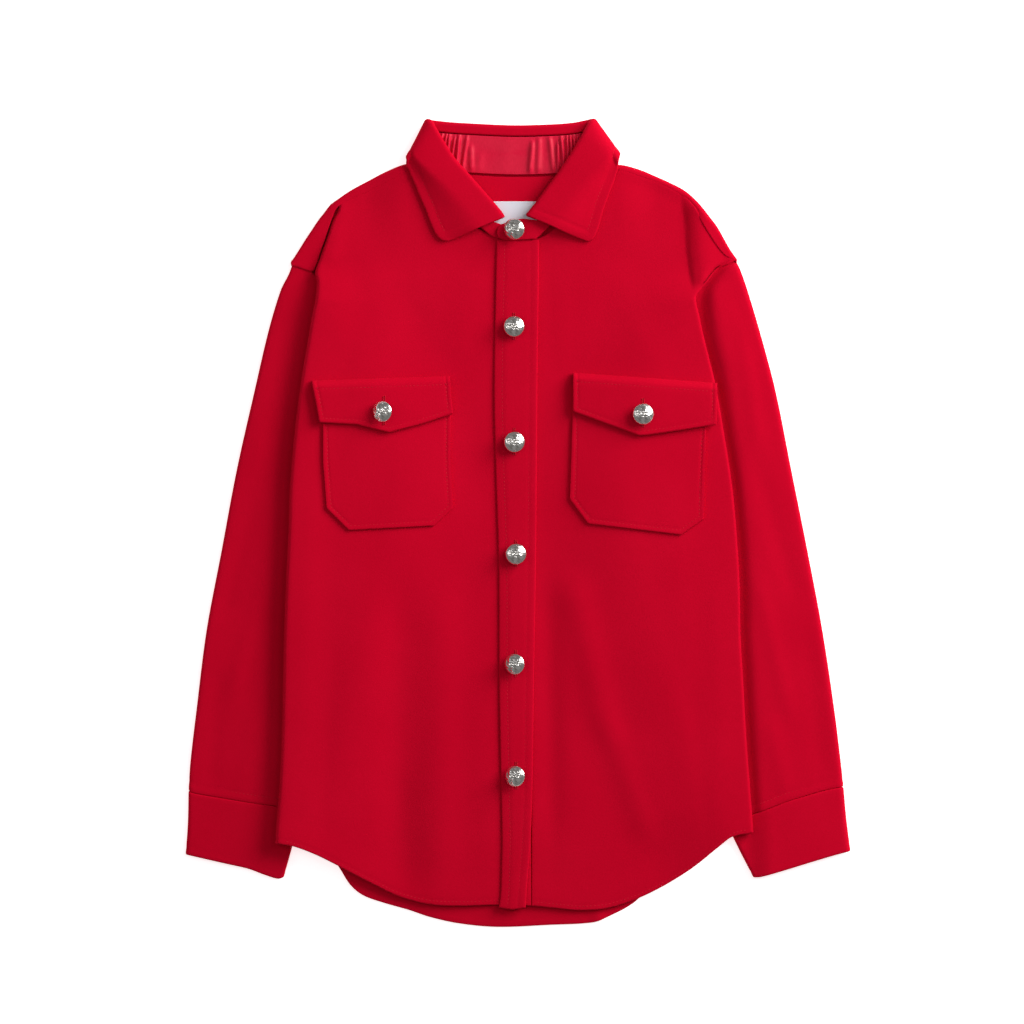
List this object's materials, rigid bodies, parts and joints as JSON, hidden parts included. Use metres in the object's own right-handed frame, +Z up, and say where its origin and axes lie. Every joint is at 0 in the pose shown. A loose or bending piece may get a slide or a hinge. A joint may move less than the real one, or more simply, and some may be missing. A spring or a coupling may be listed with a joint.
{
  "type": "shirt jacket",
  "caption": "Wool shirt-jacket laid flat on its back and buttoned, with a turned-down collar, flapped breast pockets and long cuffed sleeves.",
  "frame": {"origin": "centre of the bounding box's base, on the surface that the garment lies on", "axes": "+Z up from that surface, +Y from the hem to the collar, +X towards the wearer's left sleeve"},
  "size_m": [0.666, 0.8094, 0.0323],
  "materials": {
    "wool": "matt, felted, short nap",
    "satin": "satin sheen",
    "label_cloth": "smooth woven",
    "button_metal": "bright, cast relief"
  },
  "bodies": {
    "root": {"back": "wool", "front_right": "wool", "front_left": "wool", "placket": "wool", "sleeve_right": "wool", "cuff_right": "wool", "sleeve_left": "wool", "cuff_left": "wool", "pocket_right": "wool", "flap_right": "wool", "pocket_left": "wool", "flap_left": "wool", "collar": "wool", "collar_stand": "wool", "neck_lining": "satin", "label": "label_cloth", "button_1": "button_metal", "button_2": "button_metal", "button_3": "button_metal", "button_4": "button_metal", "button_5": "button_metal", "button_6": "button_metal", "pocket_button_right": "button_metal", "pocket_button_left": "button_metal"}
  },
  "joints": []
}
